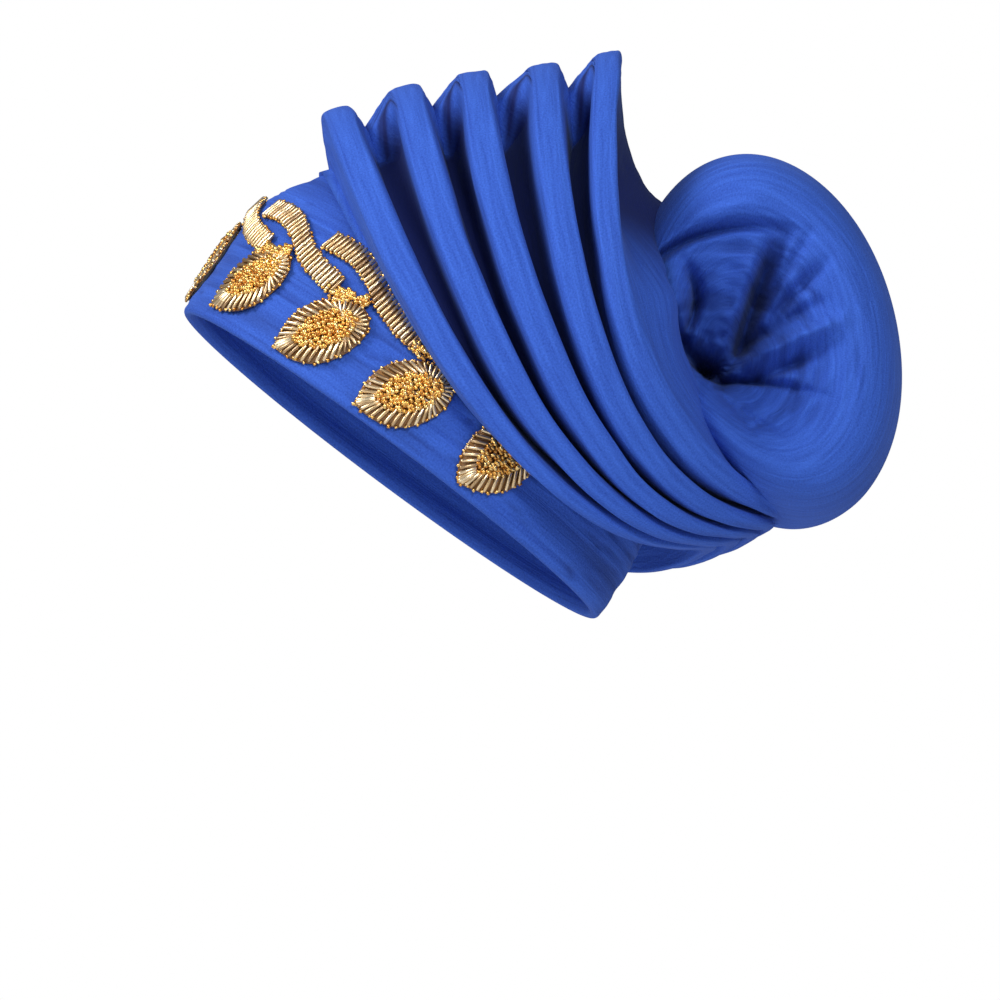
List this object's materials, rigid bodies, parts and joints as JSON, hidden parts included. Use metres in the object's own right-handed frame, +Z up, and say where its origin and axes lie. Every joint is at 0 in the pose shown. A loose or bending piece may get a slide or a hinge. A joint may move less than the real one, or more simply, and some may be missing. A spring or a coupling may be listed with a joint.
{
  "type": "tied gele head tie",
  "caption": "Tied gele head tie: fitted cap with a rolled hem, padded fan pleats, a gathered bun at the back and beaded leaves with a beaded vine along the front band.",
  "frame": {"origin": "centre of the head opening, in the plane of the rim", "axes": "-X towards the forehead, +X towards the bun at the back, -Y towards the wearer's left, +Z up"},
  "size_m": [0.274, 0.1874, 0.2195],
  "materials": {
    "cloth": "matte crinkled royal blue crepe",
    "beads": "polished gold glass and metal beads"
  },
  "bodies": {
    "root": {"cap": "cloth", "pleat_1": "cloth", "pleat_2": "cloth", "pleat_3": "cloth", "pleat_4": "cloth", "pleat_5": "cloth", "bun": "cloth", "leaf_front": "beads", "leaf_left_1": "beads", "leaf_left_2": "beads", "leaf_left_3": "beads", "leaf_left_4": "beads", "vine_left_1": "beads", "vine_left_2": "beads", "vine_left_3": "beads", "leaf_right_1": "beads", "leaf_right_2": "beads", "leaf_right_3": "beads", "leaf_right_4": "beads", "vine_right_1": "beads", "vine_right_2": "beads", "vine_right_3": "beads"}
  },
  "joints": []
}
